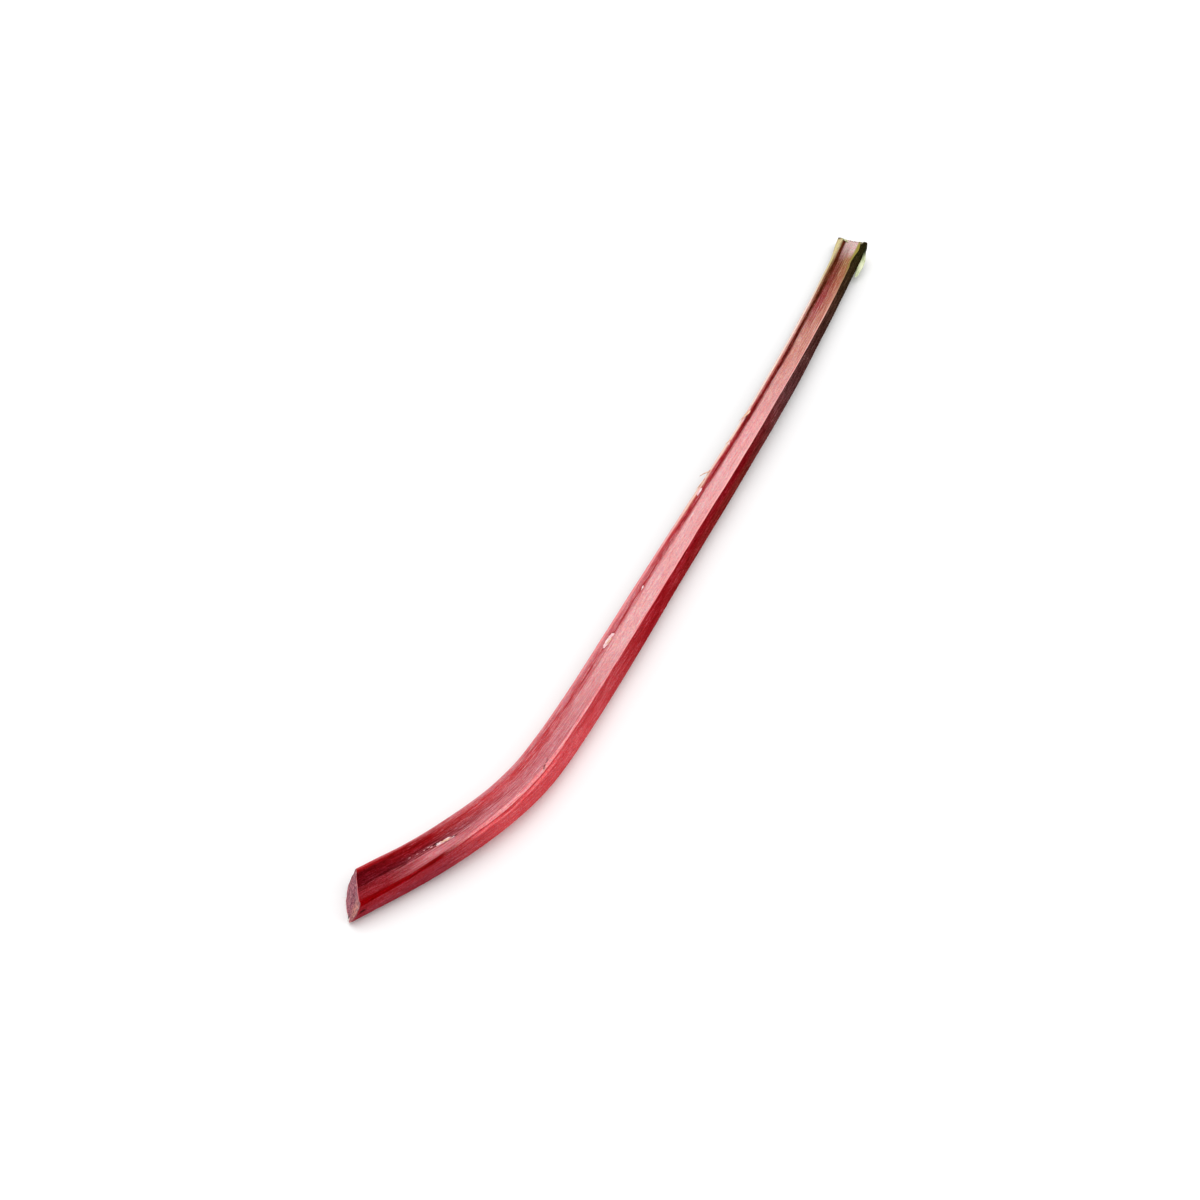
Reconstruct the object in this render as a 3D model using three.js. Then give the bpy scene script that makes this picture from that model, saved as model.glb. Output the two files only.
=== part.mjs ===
// A rhubarb stalk, pulled and trimmed: cut across at its base and just below its leaf.
// It lies on its ribbed back with the channel up. Millimetres, +Z up.
// The base is at low x and the leaf end at high x. The stalk bends near its base, so that
// the bend bulges towards -y, and it twists, so that the channel leans towards +y.

import * as THREE from 'three';

// Driving dimensions

const STALK_LENGTH = 430;

// Middle line seen from above, as control points of a smooth curve from base to leaf end.
const PATH = [
  [3, -0.5], [39, -18.5], [76, -28.5], [118.5, -26.5], [163, -23.5], [207.5, -19.5],
  [252, -16.5], [296.5, -14], [341, -9], [384.5, -3], [427, 3.2],
];
const PATH_MIDDLE = [211.6, -13.5];

// Evenly spaced control values from base to leaf end.
const WIDTH = [17, 16.8, 16.4, 16.4, 14.8, 13.2, 13, 12.4];
const THICKNESS = [10, 12.3, 11, 10.3, 8.8, 7.8];
const LEAN_DEG = [0, 21, 29, 26, 27, 26, 23, 24];
const CHANNEL_DEPTH = [0.6, 1.1, 1.2, 1.7, 1.9];

// The margins spread and their outer edges sharpen where the leaf blade began.
const LEAF_FLARE = { left: 1.3, right: 1.2 };
const LEAF_FLARE_START = 0.96;

// The section: channel floor, two raised margins, and a round back with long ribs.
// The floor's edges and the margins' crests are shares of the half width. The left margin is
// broad and soft from the bend onwards, the right one is a narrow lip.
const FLOOR_EDGE = {
  left: [0.5, 0.42, 0.4, 0.42, 0.48, 0.54, 0.54, 0.5],
  right: [0.66, 0.7, 0.74, 0.8, 0.82, 0.8, 0.76, 0.72],
};
const MARGIN_CREST = {
  left: [0.88, 0.86, 0.8, 0.74, 0.72, 0.72, 0.74, 0.78],
  right: [0.88, 0.9, 0.92, 0.94, 0.94, 0.94, 0.92, 0.9],
};
const FLOOR_DISH = 0.25;
const SHOULDER = 0.16;
const LEAF_SHOULDER = 0.04;
const BACK_SQUARENESS = [3, 2.4, 2.3, 2.4, 2.4];
const RIBS = 9;
const RIB_HEIGHT = 0.3;
const SIDE_RIB_SHARE = 0.35;

// Slant of the two cuts, as shift along the stalk for each millimetre across and up.
const BASE_CUT = { across: 0.52, up: 0.55 };
const LEAF_CUT = { across: 0.4, up: -0.8 };
const CUT_REACH = 25;

// At the leaf end the back is cut shorter than the channel.
const LEAF_BACK_TRIM = { length: 8, from: 0.25 };

// The back is pressed flat where it rests: under the base, under the bend and near the leaf end.
// Between those places it arches off the surface.
const REST_FLAT = 0.5;
const ARCHES = [
  { from: 0.04, to: 0.24, rise: 1.0 },
  { from: 0.5, to: 0.92, rise: 2.0 },
];

// Fineness of the mesh
const STATIONS = 65;
const END_CROWDING = 0.4;
const CHANNEL_POINTS = 25;
const POINTS_PER_RIB = 4;

const smoothstep = (x, low, high) => THREE.MathUtils.smoothstep(x, low, high);

// Uniform cubic B-spline through its first and last control value, t from 0 to 1.
function spline(values, t) {
  const spans = values.length - 1;
  const place = Math.min(Math.max(t, 0), 1) * spans;
  const span = Math.min(Math.floor(place), spans - 1);
  const f = place - span;
  const weights = [
    (1 - f) ** 3 / 6,
    (3 * f ** 3 - 6 * f ** 2 + 4) / 6,
    (-3 * f ** 3 + 3 * f ** 2 + 3 * f + 1) / 6,
    f ** 3 / 6,
  ];
  const valueAt = (index) => {
    if (index < 0) return 2 * values[0] - values[1];
    if (index > spans) return 2 * values[spans] - values[spans - 1];
    return values[index];
  };
  return weights.reduce((sum, weight, k) => sum + weight * valueAt(span - 1 + k), 0);
}

const pathX = PATH.map(([x]) => x - PATH_MIDDLE[0]);
const pathY = PATH.map(([, y]) => y - PATH_MIDDLE[1]);

function middleLine(t) {
  return new THREE.Vector3(spline(pathX, t), spline(pathY, t), 0);
}

// Directions of the section at t: along the stalk, across to the left margin, and up out of the channel.
function sectionAxes(t) {
  const step = 0.001;
  const along = middleLine(Math.min(t + step, 1)).sub(middleLine(Math.max(t - step, 0))).normalize();
  const level = new THREE.Vector3(-along.y, along.x, 0);
  const lean = THREE.MathUtils.degToRad(spline(LEAN_DEG, t));
  const across = level.clone().multiplyScalar(Math.cos(lean));
  across.z = -Math.sin(lean);
  const up = level.clone().multiplyScalar(Math.sin(lean));
  up.z = Math.cos(lean);
  return { along, across, up };
}

// One closed outline as [across, up] pairs: over the channel from the right margin to the left,
// then round the back to the right margin. Up is 0 at the margins' crests.
function sectionOutline(t) {
  const flare = smoothstep(t, LEAF_FLARE_START, 1);
  const halfWidth = spline(WIDTH, t) / 2;
  const halfReach = {
    left: halfWidth + LEAF_FLARE.left * flare,
    right: halfWidth + LEAF_FLARE.right * flare,
  };
  const thickness = spline(THICKNESS, t);
  const depth = spline(CHANNEL_DEPTH, t);
  const shoulder = thickness * THREE.MathUtils.lerp(SHOULDER, LEAF_SHOULDER, flare);
  const outline = [];

  for (let i = 0; i < CHANNEL_POINTS; i += 1) {
    const side = -Math.cos((Math.PI * i) / (CHANNEL_POINTS - 1));
    const reach = Math.abs(side);
    const hand = side > 0 ? 'left' : 'right';
    const edge = spline(FLOOR_EDGE[hand], t);
    const crest = spline(MARGIN_CREST[hand], t);
    const climb = smoothstep(reach, edge, crest);
    const dish = FLOOR_DISH * Math.max(0, 1 - (reach / edge) ** 2);
    const fall = Math.max(0, (reach - crest) / (1 - crest));
    const drop = shoulder * (1 - Math.sqrt(Math.max(0, 1 - fall ** 2)));
    outline.push([halfReach[hand] * side, -depth * (1 - climb) * (1 + dish) - drop]);
  }

  const backPoints = RIBS * POINTS_PER_RIB;
  const power = 2 / spline(BACK_SQUARENESS, t);
  for (let i = 1; i < backPoints; i += 1) {
    const turn = (Math.PI * i) / backPoints;
    const share = SIDE_RIB_SHARE + (1 - SIDE_RIB_SHARE) * Math.sin(turn);
    const rib = (RIB_HEIGHT * share * (1 - Math.cos(2 * RIBS * turn))) / 2;
    const wide = Math.sign(Math.cos(turn)) * Math.abs(Math.cos(turn)) ** power;
    const deep = Math.sin(turn) ** power;
    outline.push([
      (halfReach[wide > 0 ? 'left' : 'right'] + rib) * wide,
      -shoulder - (thickness - shoulder + rib) * deep,
    ]);
  }
  return outline;
}

function archHeight(t) {
  return ARCHES.reduce((height, { from, to, rise }) => {
    const place = Math.min(Math.max((t - from) / (to - from), 0), 1);
    return height + rise * Math.sin(Math.PI * place) ** 2;
  }, 0);
}

// Points of the outline in place. The section stands so high that its lowest rib presses on the surface.
function ringAt(t) {
  const { along, across, up } = sectionAxes(t);
  const outline = sectionOutline(t);
  const lowest = Math.min(...outline.map(([p, q]) => p * across.z + q * up.z));
  const centre = middleLine(t);
  centre.z = archHeight(t) - REST_FLAT - lowest;

  const fromBase = Math.max(0, 1 - (t * STALK_LENGTH) / CUT_REACH);
  const fromLeaf = Math.max(0, 1 - ((1 - t) * STALK_LENGTH) / CUT_REACH);
  const thickness = spline(THICKNESS, t);
  return outline.map(([p, q]) => {
    const trim = LEAF_BACK_TRIM.length * smoothstep(-q / thickness, LEAF_BACK_TRIM.from, 1);
    const baseSlant = BASE_CUT.across * p + BASE_CUT.up * q;
    const leafSlant = LEAF_CUT.across * p + LEAF_CUT.up * q - trim;
    const slant = fromBase * baseSlant + fromLeaf * leafSlant;
    const point = centre.clone();
    point.addScaledVector(across, p).addScaledVector(up, q).addScaledVector(along, slant);
    point.z = Math.max(point.z, 0);
    return point;
  });
}

// Skins the rings into one closed body, with a flat cut face at each end.
function loftGeometry(rings) {
  const around = rings[0].length;
  const last = rings.length - 1;
  const points = rings.flat();
  const index = [];
  for (let r = 0; r < last; r += 1) {
    for (let i = 0; i < around; i += 1) {
      const a = r * around + i;
      const b = r * around + ((i + 1) % around);
      index.push(a, a + around, b, b, a + around, b + around);
    }
  }
  for (const ring of [0, last]) {
    const centre = rings[ring].reduce((sum, p) => sum.add(p), new THREE.Vector3()).divideScalar(around);
    const centreIndex = points.push(centre) - 1;
    for (let i = 0; i < around; i += 1) {
      const a = ring * around + i;
      const b = ring * around + ((i + 1) % around);
      index.push(...(ring === 0 ? [a, b, centreIndex] : [b, a, centreIndex]));
    }
  }
  const geometry = new THREE.BufferGeometry().setFromPoints(points);
  geometry.setIndex(index);
  geometry.computeVertexNormals();
  return geometry;
}

// Stations lie closer together near the two cuts.
const stations = Array.from({ length: STATIONS }, (_, i) => {
  const t = i / (STATIONS - 1);
  return t - (END_CROWDING * Math.sin(2 * Math.PI * t)) / (2 * Math.PI);
});

const skin = new THREE.MeshStandardMaterial({ color: 0xb23a4a, roughness: 0.4, metalness: 0 });
const stalk = new THREE.Mesh(loftGeometry(stations.map(ringAt)), skin);
stalk.name = 'stalk';

const rhubarb = new THREE.Group();
rhubarb.add(stalk);

export default rhubarb;
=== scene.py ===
import math
from collections import namedtuple
from functools import reduce
from types import SimpleNamespace

import bpy
import numpy as np
from mathutils import Matrix, Vector


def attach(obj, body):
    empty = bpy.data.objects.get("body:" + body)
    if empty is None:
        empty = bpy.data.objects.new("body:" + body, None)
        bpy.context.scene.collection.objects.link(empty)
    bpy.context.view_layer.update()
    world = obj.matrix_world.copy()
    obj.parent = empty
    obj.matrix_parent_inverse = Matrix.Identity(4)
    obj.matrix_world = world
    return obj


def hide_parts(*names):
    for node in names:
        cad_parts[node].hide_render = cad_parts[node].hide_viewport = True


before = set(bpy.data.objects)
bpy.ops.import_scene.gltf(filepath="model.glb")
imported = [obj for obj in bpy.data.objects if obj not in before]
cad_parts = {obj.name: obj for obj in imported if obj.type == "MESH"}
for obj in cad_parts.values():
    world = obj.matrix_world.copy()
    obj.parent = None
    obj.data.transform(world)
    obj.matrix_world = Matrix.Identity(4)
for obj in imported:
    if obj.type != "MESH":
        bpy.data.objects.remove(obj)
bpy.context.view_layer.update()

MM = 0.001

# ---- Form of the stalk, in millimetres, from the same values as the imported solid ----

STALK_LENGTH = 430

PATH = [
    [3, -0.5], [39, -18.5], [76, -28.5], [118.5, -26.5], [163, -23.5], [207.5, -19.5],
    [252, -16.5], [296.5, -14], [341, -9], [384.5, -3], [427, 3.2],
]
PATH_MIDDLE = [211.6, -13.5]

WIDTH = [17, 16.8, 16.4, 16.4, 14.8, 13.2, 13, 12.4]
THICKNESS = [10, 12.3, 11, 10.3, 8.8, 7.8]
LEAN_DEG = [0, 21, 29, 26, 27, 26, 23, 24]
CHANNEL_DEPTH = [0.6, 1.1, 1.2, 1.7, 1.9]
LEAF_FLARE = {"left": 1.3, "right": 1.2}
LEAF_FLARE_START = 0.96

FLOOR_DISH = 0.25
SHOULDER = 0.16
LEAF_SHOULDER = 0.04
BACK_SQUARENESS = [3, 2.4, 2.3, 2.4, 2.4]
RIBS = 9
RIB_HEIGHT = 0.3
SIDE_RIB_SHARE = 0.35

BASE_CUT = {"across": 0.52, "up": 0.55}
LEAF_CUT = {"across": 0.4, "up": -0.8}
CUT_REACH = 25
LEAF_BACK_TRIM = {"length": 8, "from": 0.25}

REST_FLAT = 0.5
ARCHES = [{"from": 0.04, "to": 0.24, "rise": 1.0}, {"from": 0.5, "to": 0.92, "rise": 2.0}]

# Where the floor of the channel ends and where each margin is highest, as shares of the
# half width. The left margin is broad and soft in the lower half and narrow above.
LEFT_FLOOR_EDGE = [0.5, 0.42, 0.4, 0.42, 0.48, 0.54, 0.54, 0.5]
LEFT_CREST = [0.88, 0.86, 0.8, 0.74, 0.72, 0.72, 0.74, 0.78]
RIGHT_FLOOR_EDGE = [0.66, 0.7, 0.74, 0.8, 0.82, 0.8, 0.76, 0.72]
RIGHT_CREST = [0.88, 0.9, 0.92, 0.94, 0.94, 0.94, 0.92, 0.9]
RISE_ON_BACK = 1.5

# Unevenness of the two cuts: its height and how far it reaches along the stalk, and the middle and
# radius of the round that it is measured on
CUT_WAVES = 0.22
CUT_TEETH = 0.1
UNEVEN_REACH = 6
CUT_MIDDLE_DEPTH = 4
CUT_RADIUS = 8

# Relief of the skin, as heights in millimetres
SWELLINGS = 0.14
RIDGES = 0.05
FURROWS = 0.03
FINE_RIBS = 0.05
FINE_RIBS_PER_RIB = 3
WAVER = 0.14
PITS = 0.12
BEND_RIB = {"past": 2.7, "width": 0.35, "height": 0.18}
BEND_GROOVE = {"past": 2.0, "width": 0.25, "depth": 0.12}
CORNER = {"past": 0.4, "width": 1.3, "out": 0.85, "down": 0.4}
BEND_BEGINS = (0.09, 0.14)
BEND_ENDS = (0.3, 0.22)
CORNER_BEGINS = (0.968, 1.0)

# The flesh of the cuts swells just inside the rim, is hollow in the middle, and is lumpy
CUT_SWELL = 0.12
CUT_HOLLOW = 0.35
CUT_LUMPS = 0.07
HUB_HOLLOW = 0.33

# Fineness of the mesh
STATIONS = 440
END_CROWDING = 0.4
CHANNEL_POINTS = 84
BACK_POINTS = 126
CAP_RINGS = [0.97, 0.92, 0.82, 0.68, 0.52, 0.36, 0.2, 0.08]

SEED = 41


def smooth(x, low, high):
    y = np.clip((x - low) / (high - low), 0, 1)
    return y * y * (3 - 2 * y)


def bell(x, middle, width):
    return np.exp(-(((x - middle) / width) ** 2))


def spline(values, t):
    """Uniform cubic B-spline through its first and last control value, t from 0 to 1."""
    points = np.asarray(values, float)
    spans = len(points) - 1
    ends = [2 * points[0] - points[1]], [2 * points[-1] - points[-2]]
    points = np.concatenate([ends[0], points, ends[1]])
    place = np.clip(t, 0, 1) * spans
    span = np.minimum(place.astype(int), spans - 1)
    f = place - span
    weights = [
        (1 - f) ** 3 / 6,
        (3 * f**3 - 6 * f**2 + 4) / 6,
        (-3 * f**3 + 3 * f**2 + 3 * f + 1) / 6,
        f**3 / 6,
    ]
    if points.ndim == 2:
        weights = [w[:, None] for w in weights]
    return sum(w * points[span + k] for k, w in enumerate(weights))


class Lattice:
    """Seeded smooth noise from -1 to 1 over millimetres along the stalk and round it."""

    SIZE = (1024, 256)
    SHIFT = 40

    def __init__(self, seed, along_mm, round_mm):
        self.values = np.random.RandomState(SEED + seed).uniform(-1, 1, self.SIZE)
        self.along_mm = along_mm
        self.round_mm = round_mm

    def at(self, s, g):
        x = s / self.along_mm + self.SHIFT
        y = g / self.round_mm + self.SHIFT
        i, j = np.floor(x).astype(int), np.floor(y).astype(int)
        fx, fy = smooth(x - i, 0, 1), smooth(y - j, 0, 1)
        rows, columns = self.SIZE
        i, j, i2, j2 = i % rows, j % columns, (i + 1) % rows, (j + 1) % columns
        v = self.values
        low = v[i, j] * (1 - fx) + v[i2, j] * fx
        high = v[i, j2] * (1 - fx) + v[i2, j2] * fx
        return low * (1 - fy) + high * fy


# Marks on the skin, each with its middle: a place along the stalk from 0 to 1, and millimetres
# round it from the middle of the channel, the left margin being positive. The sizes are in
# millimetres, and slope is how far the mark moves round the stalk for each one along.
Mark = namedtuple("Mark", "kind place girth length width depth slope", defaults=[0.0, 0.0])
MARK_KINDS = ("scar", "scuff", "split", "pale", "fleck")
MARKS = [
    Mark("scar", 0.0948, -1.45, 8.2, 1.5, 0.16, slope=-0.125),
    Mark("scuff", 0.074, 0.0, 17, 1.9, 0.05, slope=-0.13),
    Mark("fleck", 0.0577, 0.64, 1.1, 0.6, 0.05),
    Mark("fleck", 0.066, 0.4, 0.9, 0.45, 0.05),
    Mark("fleck", 0.0735, 0.25, 1.1, 0.55, 0.05),
    Mark("fleck", 0.0793, 0.35, 1.4, 0.45, 0.05, slope=-0.2),
    Mark("fleck", 0.0812, -0.4, 1.0, 0.5, 0.05),
    Mark("split", 0.0855, -0.35, 2.6, 0.4, 0.08, slope=-0.2),
    Mark("split", 0.1045, -2.05, 3.6, 0.35, 0.1, slope=-0.3),
    Mark("split", 0.2245, -7.0, 5.6, 0.8, 0.35, slope=0.5),
    Mark("scar", 0.396, 3.95, 8.2, 1.6, 0.1),
    Mark("scar", 0.4686, 3.5, 2.0, 0.6, 0.07),
    Mark("scar", 0.603, 4.9, 4.6, 1.0, 0.08),
    # The pale marks are strips along the left crest: partly torn skin and partly a painted highlight.
    Mark("pale", 0.6, 6.3, 30, 2.2),
    Mark("scar", 0.716, 5.7, 9, 0.8, 0.2, slope=0.02),
    Mark("split", 0.7095, 4.8, 5, 0.5, 0.15, slope=0.1),
    Mark("scar", 0.6727, 5.3, 2.2, 0.7, 0.15),
    Mark("pale", 0.682, 6.1, 30, 1.8),
    Mark("split", 0.0045, -10.9, 2.2, 1.0, 0.3),
    Mark("scar", 0.17, 19.5, 7, 1.3, 0.12, slope=0.05),
    Mark("scuff", 0.3, -20.0, 22, 3.0, 0.05, slope=0.02),
    Mark("scar", 0.52, 17.5, 11, 1.0, 0.1, slope=-0.03),
    Mark("scar", 0.63, -17.0, 6, 0.9, 0.08),
    Mark("scuff", 0.78, 14.5, 18, 2.4, 0.05),
]

# Outline of a mark, in shares of its half size: how blunt, ragged and soft it is. A low rim stands round
# it, from nothing at the first share to full at the second, and back to nothing at the other two.
BLUNTNESS = 3
RAGGED_EDGE = 0.25
SOFT_EDGE = 0.25
PALE_SOFT_EDGE = 0.6
RIM_OUTSIDE = (1.9, 1.3)
RIM_INSIDE = (1.25, 0.85)
RIM_HEIGHT = 0.45


def mark_masks(s, girth):
    """How much each point belongs to a mark of each kind, and how deep the marks press in."""
    masks = {kind: np.zeros_like(girth) for kind in MARK_KINDS}
    press = np.zeros_like(girth)
    rough = Lattice(30, 1.3, 0.4).at(s, girth)
    for mark in MARKS:
        ds = s - mark.place * STALK_LENGTH
        dg = girth - mark.girth - mark.slope * ds
        ds, dg = np.abs(2 * ds / mark.length), np.abs(2 * dg / mark.width)
        far = (ds**BLUNTNESS + dg**BLUNTNESS) ** (1 / BLUNTNESS) + RAGGED_EDGE * rough
        soft = PALE_SOFT_EDGE if mark.kind == "pale" else SOFT_EDGE
        here = smooth(far, 1 + soft, 1 - soft)
        masks[mark.kind] = np.maximum(masks[mark.kind], here)
        rim = smooth(far, *RIM_OUTSIDE) - smooth(far, *RIM_INSIDE)
        press += mark.depth * (here - RIM_HEIGHT * rim)
    return masks, press


def sections(t):
    """The outline at each t, over the channel from the right margin to the left and round the back,
    with what the materials need to know about each point."""
    flare = smooth(t, LEAF_FLARE_START, 1)
    half = spline(WIDTH, t) / 2
    left = (half + LEAF_FLARE["left"] * flare)[:, None]
    right = (half + LEAF_FLARE["right"] * flare)[:, None]
    thickness = spline(THICKNESS, t)[:, None]
    depth = spline(CHANNEL_DEPTH, t)[:, None]
    shoulder = thickness * (SHOULDER + (LEAF_SHOULDER - SHOULDER) * flare[:, None])

    side = -np.cos(np.linspace(0, math.pi, CHANNEL_POINTS))[None]
    reach = np.abs(side)
    edge = np.where(side > 0, spline(LEFT_FLOOR_EDGE, t)[:, None], spline(RIGHT_FLOOR_EDGE, t)[:, None])
    crest = np.where(side > 0, spline(LEFT_CREST, t)[:, None], spline(RIGHT_CREST, t)[:, None])
    rise = (reach - edge) / (crest - edge)
    climb = smooth(rise, 0, 1)
    dish = FLOOR_DISH * np.clip(1 - (reach / edge) ** 2, 0, 1)
    fall = np.clip((reach - crest) / (1 - crest), 0, 1)
    p_top = np.where(side > 0, left, right) * side
    q_top = -depth * (1 - climb) * (1 + dish) - shoulder * (1 - np.sqrt(1 - fall**2))

    turn = (np.arange(1, BACK_POINTS) * math.pi / BACK_POINTS)[None]
    share = SIDE_RIB_SHARE + (1 - SIDE_RIB_SHARE) * np.sin(turn)
    rib = RIB_HEIGHT * share * (1 - np.cos(2 * RIBS * turn)) / 2
    power = 2 / spline(BACK_SQUARENESS, t)[:, None]
    wide = np.sign(np.cos(turn)) * np.abs(np.cos(turn)) ** power
    deep = np.sin(turn) ** power
    p_back = (np.where(wide > 0, left, right) + rib) * wide
    q_back = -shoulder - (thickness - shoulder + rib) * deep

    ones = np.ones_like(t)[:, None]
    return {
        "p": np.concatenate([p_top, p_back], 1),
        "q": np.concatenate([q_top, q_back], 1),
        "side": np.concatenate([side * ones, np.cos(turn) * ones], 1),
        "climb": np.concatenate([climb, np.ones_like(p_back)], 1),
        "rise": np.concatenate([rise, np.full_like(p_back, RISE_ON_BACK)], 1),
        "back": np.concatenate([np.zeros_like(p_top), np.ones_like(p_back)], 1),
        "thickness": thickness,
        "left_crest": spline(LEFT_CREST, t),
        "right_crest": spline(RIGHT_CREST, t),
    }


def frames(t):
    """Middle line and the directions along, across to the left margin, and up out of the channel."""
    path = np.array(PATH) - PATH_MIDDLE
    step = 0.001
    middle = spline(path, t)
    ahead = spline(path, np.minimum(t + step, 1)) - spline(path, np.maximum(t - step, 0))
    ahead /= np.linalg.norm(ahead, axis=1)[:, None]
    zero = np.zeros_like(t)
    along = np.stack([ahead[:, 0], ahead[:, 1], zero], 1)
    level = np.stack([-ahead[:, 1], ahead[:, 0], zero], 1)
    vertical = np.array([[0.0, 0.0, 1.0]])
    lean = np.radians(spline(LEAN_DEG, t))[:, None]
    across = level * np.cos(lean) - vertical * np.sin(lean)
    up = level * np.sin(lean) + vertical * np.cos(lean)
    return middle, along, across, up


def arch_height(t):
    height = np.zeros_like(t)
    for arch in ARCHES:
        place = np.clip((t - arch["from"]) / (arch["to"] - arch["from"]), 0, 1)
        height += arch["rise"] * np.sin(math.pi * place) ** 2
    return height


def outward(p, q):
    """Unit normals of the closed outlines, in the plane of each section."""
    dp = np.roll(p, -1, 1) - np.roll(p, 1, 1)
    dq = np.roll(q, -1, 1) - np.roll(q, 1, 1)
    size = np.hypot(dp, dq)
    return -dq / size, dp / size


def arc_from(p, q, start):
    """Distance round each outline from the point with that index, in millimetres."""
    steps = np.hypot(np.roll(p, -1, 1) - p, np.roll(q, -1, 1) - q)
    arc = np.concatenate([np.zeros_like(p[:, :1]), np.cumsum(steps, 1)[:, :-1]], 1)
    return arc - arc[:, start:start + 1]


def round_the_stalk(base, t):
    """For each point: millimetres round the stalk from the middle of the channel, the left being positive,
    and millimetres past the nearer margin's crest, negative inside the channel."""
    girth = arc_from(base["p"], base["q"], CHANNEL_POINTS // 2)
    whole = girth[:, -1:] - girth[:, :1]
    right_half = (base["side"] < 0) & (base["back"] > 0)
    girth = np.where(right_half, girth - whole, girth)
    top = base["side"][:, :CHANNEL_POINTS]
    past = np.empty_like(girth)
    for row in range(len(t)):
        at_left = np.interp(base["left_crest"][row], top[row], girth[row, :CHANNEL_POINTS])
        at_right = np.interp(-base["right_crest"][row], top[row], girth[row, :CHANNEL_POINTS])
        past[row] = np.where(girth[row] > 0, girth[row] - at_left, at_right - girth[row])
    return girth, past


CUT_WAVE_NOISE = Lattice(2, 1, 5)
CUT_TOOTH_NOISE = Lattice(1, 1, 1.3)


def ragged_ends(t, p, q):
    """Small unevenness of the two cuts, fading out away from them."""
    base = np.clip(1 - t * STALK_LENGTH / UNEVEN_REACH, 0, 1)[:, None]
    leaf = np.clip(1 - (1 - t) * STALK_LENGTH / UNEVEN_REACH, 0, 1)[:, None]
    turn = np.arctan2(q + CUT_MIDDLE_DEPTH, p) * CUT_RADIUS
    waves = CUT_WAVES * CUT_WAVE_NOISE.at(np.full_like(turn, 3), turn)
    teeth = CUT_TEETH * CUT_TOOTH_NOISE.at(np.full_like(turn, 7), turn)
    return (base - leaf) * (waves + teeth)


def lay_out(t, p, q, base):
    """Puts section points (p, q) at stations t in place. The plain outline in base sets the height."""
    middle, along, across, up = frames(t)
    lowest = (base["p"] * across[:, 2:] + base["q"] * up[:, 2:]).min(1)
    centre = np.concatenate([middle, (arch_height(t) - REST_FLAT - lowest)[:, None]], 1)
    from_base = np.clip(1 - t * STALK_LENGTH / CUT_REACH, 0, None)[:, None]
    from_leaf = np.clip(1 - (1 - t) * STALK_LENGTH / CUT_REACH, 0, None)[:, None]
    trim = LEAF_BACK_TRIM["length"] * smooth(-q / base["thickness"], LEAF_BACK_TRIM["from"], 1)
    slant = from_base * (BASE_CUT["across"] * p + BASE_CUT["up"] * q)
    slant += from_leaf * (LEAF_CUT["across"] * p + LEAF_CUT["up"] * q - trim)
    slant += ragged_ends(t, p, q)
    points = centre[:, None] + p[..., None] * across[:, None] + q[..., None] * up[:, None]
    points += slant[..., None] * along[:, None]
    points[..., 2] = np.maximum(points[..., 2], 0)
    return points


def skin_relief(t, s, base, girth, past, scuffs, press):
    """Height of the skin over the plain outline: low swellings, long ridges and furrows, finer ribs between
    the main ribs, wavering margins, marks, and the first rib beside the right margin at the bend."""
    side, climb, back = base["side"], base["climb"], base["back"]
    swell = SWELLINGS * Lattice(3, 26, 5).at(s, girth)
    furrows = RIDGES * Lattice(4, 45, 1.1).at(s, girth) + FURROWS * Lattice(5, 18, 0.8).at(s, girth)
    turn = np.arccos(np.clip(side, -1, 1))
    strength = 0.6 + 0.4 * Lattice(6, 30, 4).at(s, girth)
    fine_ribs = FINE_RIBS * back * np.cos(2 * RIBS * FINE_RIBS_PER_RIB * turn) * strength
    margin = climb * (1 - smooth(back * np.sin(turn), 0.2, 0.6))
    waver = WAVER * margin * Lattice(7, 14, 400).at(s, side * 300)
    pits = scuffs * np.clip(Lattice(31, 1.1, 0.55).at(s, girth), 0, 1)
    at_bend = smooth(t, *BEND_BEGINS)[:, None] * smooth(t, *BEND_ENDS)[:, None] * (girth < 0)
    rib = BEND_RIB["height"] * bell(past, BEND_RIB["past"], BEND_RIB["width"])
    groove = BEND_GROOVE["depth"] * bell(past, BEND_GROOVE["past"], BEND_GROOVE["width"])
    return swell + furrows + fine_ribs + waver - press - PITS * pits + at_bend * (rib - groove)


def cut_face(ring, grown_ring, out, rim, first, at_base, rng):
    """The flesh of one cut, in rings from the rim to the hub. The rim's points count from rim, and the new
    ones from first. Gives the new points, their places as grown, their shares inwards, and the faces."""
    around = len(ring)
    centre, grown_centre = ring.mean(0), grown_ring.mean(0)
    points, grown, inside, faces = [], [], [], []
    previous = rim + np.arange(around)
    for share in CAP_RINGS:
        inward = 1 - share
        bulge = CUT_SWELL * math.sin(math.pi * min(1, inward * 6)) - CUT_HOLLOW * inward
        lumps = rng.uniform(-CUT_LUMPS, CUT_LUMPS, around) * min(1, inward * 8)
        place = centre + (ring - centre) * share + out * (bulge + lumps)[:, None]
        place[:, 2] = np.maximum(place[:, 2], 0)
        points.append(place)
        grown.append(grown_centre + (grown_ring - grown_centre) * share)
        inside.append(np.full(around, inward))
        current = first + np.arange(around)
        first += around
        a, b = previous, np.roll(previous, -1)
        c, d = np.roll(current, -1), current
        faces.append(np.stack([a, d, c, b] if at_base else [a, b, c, d], 1))
        previous = current
    points.append((centre - out * HUB_HOLLOW)[None])
    grown.append(grown_centre[None])
    inside.append(np.ones(1))
    a, b, hub = previous, np.roll(previous, -1), np.full(around, first)
    faces.append(np.stack([b, a, hub] if at_base else [a, b, hub], 1))
    return np.concatenate(points), np.concatenate(grown), np.concatenate(inside), faces


def link_object(name, data):
    made = bpy.data.objects.new(name, data)
    bpy.context.scene.collection.objects.link(made)
    return made


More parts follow.
